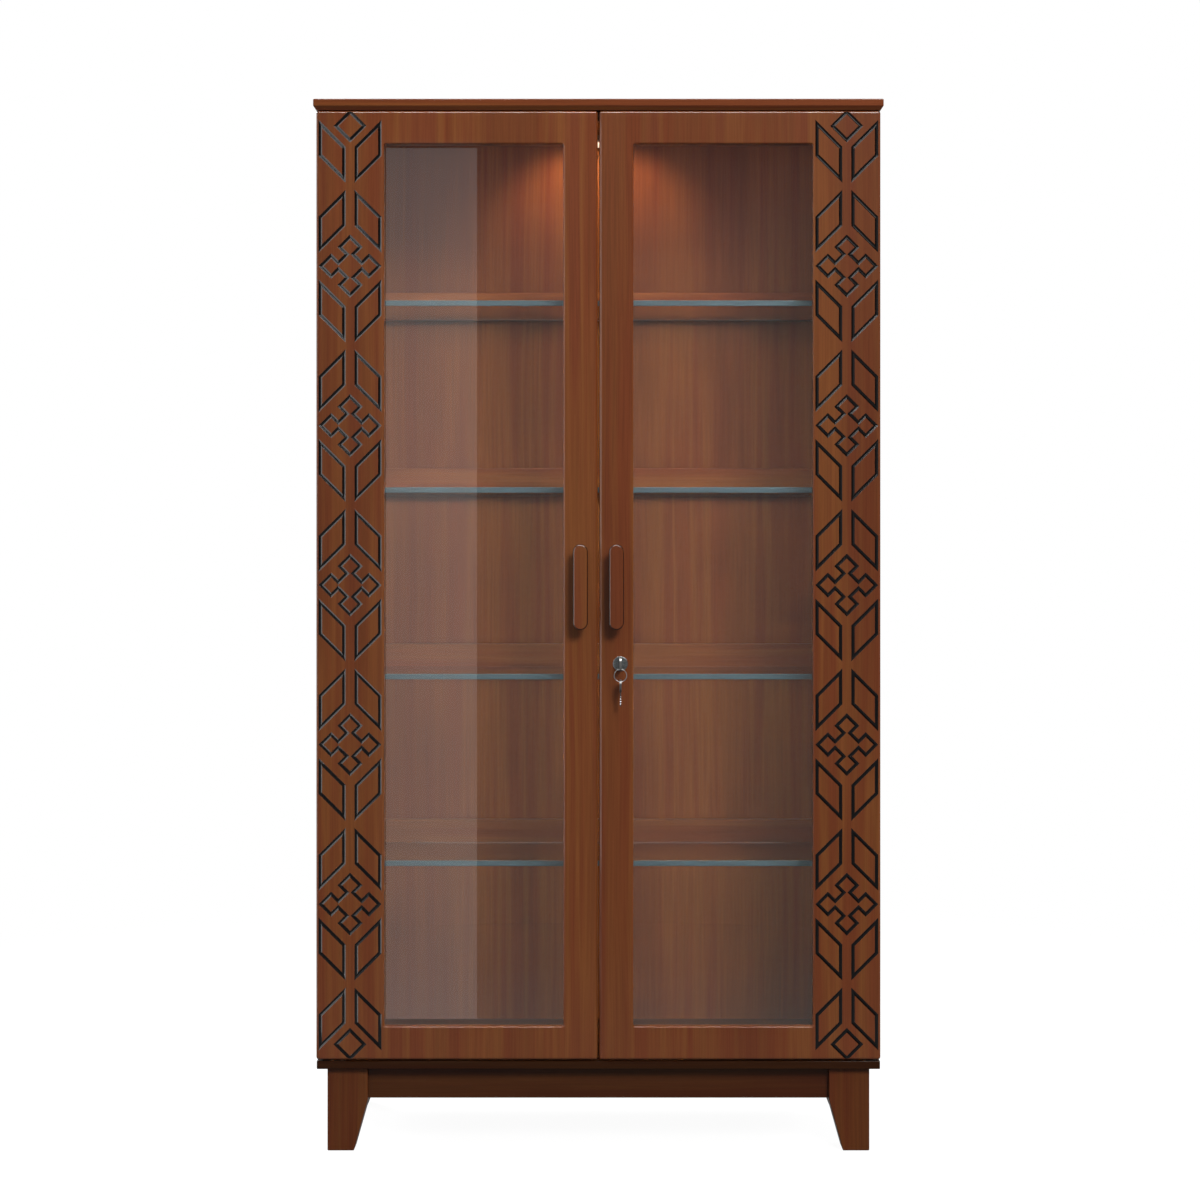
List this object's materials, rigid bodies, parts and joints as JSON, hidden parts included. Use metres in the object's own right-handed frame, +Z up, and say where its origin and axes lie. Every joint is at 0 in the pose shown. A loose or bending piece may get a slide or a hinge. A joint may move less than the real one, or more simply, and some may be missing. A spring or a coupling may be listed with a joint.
{
  "type": "book cabinet",
  "caption": "Tall book cabinet with carved and glazed double doors, glass shelves, bar handles, a key lock, a light under the top board and tapered legs.",
  "frame": {"origin": "on the floor, under the middle of the cabinet's box, handles included", "axes": "+Z up, the doors face -Y, +X to the right when facing the doors"},
  "size_m": [1.01, 0.433, 1.868],
  "materials": {
    "door_wood": "satin lacquer, vertical grain",
    "carcass_wood": "satin lacquer",
    "base_wood": "satin lacquer, darker",
    "plain_wood": "unfinished beech",
    "clear_glass": "clear float glass",
    "steel": "zinc plated",
    "lock_steel": "dark nickel",
    "bush_plastic": "self-lubricating nylon",
    "catch_plastic": "brown moulded",
    "light_metal": "satin",
    "light_lens": "frosted"
  },
  "bodies": {
    "carcass": {"apron_cleats": "plain_wood", "back_panel": "carcass_wood", "back_rail_1": "carcass_wood", "back_rail_2": "carcass_wood", "back_rail_3": "carcass_wood", "back_rail_4": "carcass_wood", "bottom_board": "base_wood", "cleat_screws": "steel", "dowels": "plain_wood", "front_apron": "base_wood", "front_left_leg": "base_wood", "front_right_leg": "base_wood", "glass_shelf_1": "clear_glass", "glass_shelf_2": "clear_glass", "glass_shelf_3": "clear_glass", "glass_shelf_4": "clear_glass", "left_apron": "base_wood", "left_side_panel": "carcass_wood", "light_housing": "light_metal", "light_lens": "light_lens", "magnetic_catch": "catch_plastic", "pivot_plates": "steel", "plate_screws": "steel", "rear_apron": "base_wood", "rear_left_leg": "base_wood", "rear_right_leg": "base_wood", "right_apron": "base_wood", "right_side_panel": "carcass_wood", "shelf_pins": "steel", "top_board": "carcass_wood"},
    "left_door": {"left_bottom_rail": "door_wood", "left_catch_strike": "steel", "left_door_glass": "clear_glass", "left_glass_beads": "door_wood", "left_handle": "door_wood", "left_handle_screws": "steel", "left_inner_stile": "door_wood", "left_outer_stile": "door_wood", "left_pivot_bushes": "bush_plastic", "left_top_rail": "door_wood", "lock_keeper": "steel", "bolt_case": "steel"},
    "right_door": {"right_bottom_rail": "door_wood", "right_catch_strike": "steel", "right_door_glass": "clear_glass", "right_glass_beads": "door_wood", "right_handle": "door_wood", "right_handle_screws": "steel", "right_inner_stile": "door_wood", "right_outer_stile": "door_wood", "right_pivot_bushes": "bush_plastic", "right_top_rail": "door_wood", "lock_body": "lock_steel", "lock_nut": "steel"},
    "door_bolt": {"bolt": "steel"},
    "lock_core": {"lock_plug": "lock_steel", "lock_cam": "steel"},
    "inserted_key": {"key": "lock_steel"},
    "ring": {"key_ring": "lock_steel"},
    "hanging_key": {"spare_key": "lock_steel"}
  },
  "joints": [
    {"name": "left_door_swing", "type": "hinge", "parent": "carcass", "child": "left_door", "pos_m": [-0.492, -0.1715, 0.163], "axis": [0, 0, 1], "range_deg": [-105, 0]},
    {"name": "right_door_swing", "type": "hinge", "parent": "carcass", "child": "right_door", "pos_m": [0.492, -0.1715, 0.163], "axis": [0, 0, 1], "range_deg": [0, 105]},
    {"name": "door_bolt_slide", "type": "slide", "parent": "left_door", "child": "door_bolt", "axis": [0, 0, -1], "range_m": [0, 0.012]},
    {"name": "lock_turn", "type": "hinge", "parent": "right_door", "child": "lock_core", "pos_m": [0.039, -0.1835, 0.868], "axis": [0, 1, 0], "range_deg": [0, 90]},
    {"name": "key_withdraw", "type": "slide", "parent": "lock_core", "child": "inserted_key", "axis": [0, -1, 0], "range_m": [0, 0.03]},
    {"name": "key_ring_swing", "type": "hinge", "parent": "inserted_key", "child": "ring", "pos_m": [0.039, -0.2045, 0.85925], "axis": [1, 0, 0], "range_deg": [-60, 8]},
    {"name": "spare_key_swing", "type": "hinge", "parent": "ring", "child": "hanging_key", "pos_m": [0.039, -0.2045, 0.83725], "axis": [1, 0, 0], "range_deg": [-60, 8]}
  ]
}
